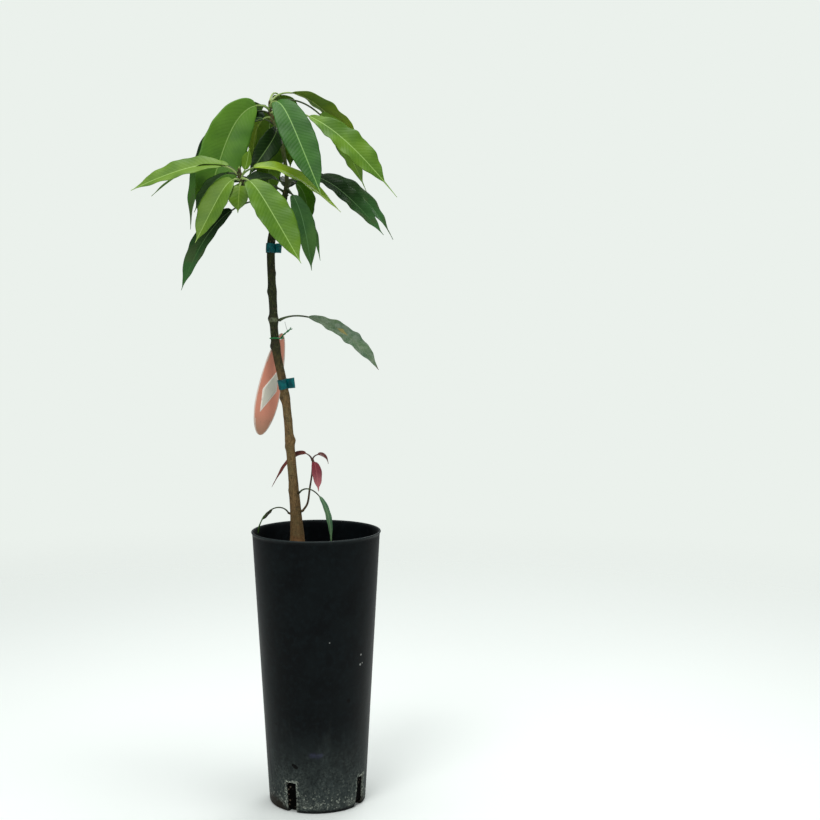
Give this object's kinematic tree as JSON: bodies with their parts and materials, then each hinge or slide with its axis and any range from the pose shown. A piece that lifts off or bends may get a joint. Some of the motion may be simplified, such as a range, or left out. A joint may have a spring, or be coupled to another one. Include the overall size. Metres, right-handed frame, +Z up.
{
  "type": "mango tree sapling in a tall pot",
  "caption": "Young mango tree in a tall black nursery pot, with a slim leaning stem, drooping lance-shaped leaves in whorls, a young red shoot, stem ties and a blank hanging label.",
  "frame": {"origin": "centre of the pot's flat underside", "axes": "+Z up along the pot's axis, -Y to the front, +X to the right seen from the front"},
  "size_m": [0.3253, 0.2616, 0.921],
  "materials": {
    "pot_plastic": "satin black, dusty at the foot",
    "potting_mix": "loose, rough bark mix",
    "bark": "rough tan bark, greener higher up",
    "green_bark": "smooth dark green-brown bark",
    "leaf_green": "leathery leaf with a soft sheen",
    "leaf_light": "younger leathery leaf with a soft sheen",
    "leaf_dark": "old dark leathery leaf",
    "leaf_dusty": "dull, dusty old leaf",
    "leaf_red": "thin, glossy young red leaf",
    "tie_teal": "satin stretch band",
    "tie_green": "thin coated wire",
    "tag_salmon": "satin card-like sheet"
  },
  "bodies": {
    "root": {"pot": "pot_plastic", "potting_mix": "potting_mix", "trunk": "bark", "bough_top": "green_bark", "bough_left": "green_bark", "foliage_top": "leaf_green", "foliage_left": "leaf_light", "foliage_middle": "leaf_dark", "trunk_leaf": "leaf_dusty", "low_leaf_right": "leaf_green", "low_leaf_left": "leaf_dark", "red_shoot": "leaf_red", "tie_upper": "tie_teal", "tie_lower": "tie_teal", "label_tie": "tie_green", "label_tag": "tag_salmon"}
  },
  "joints": []
}
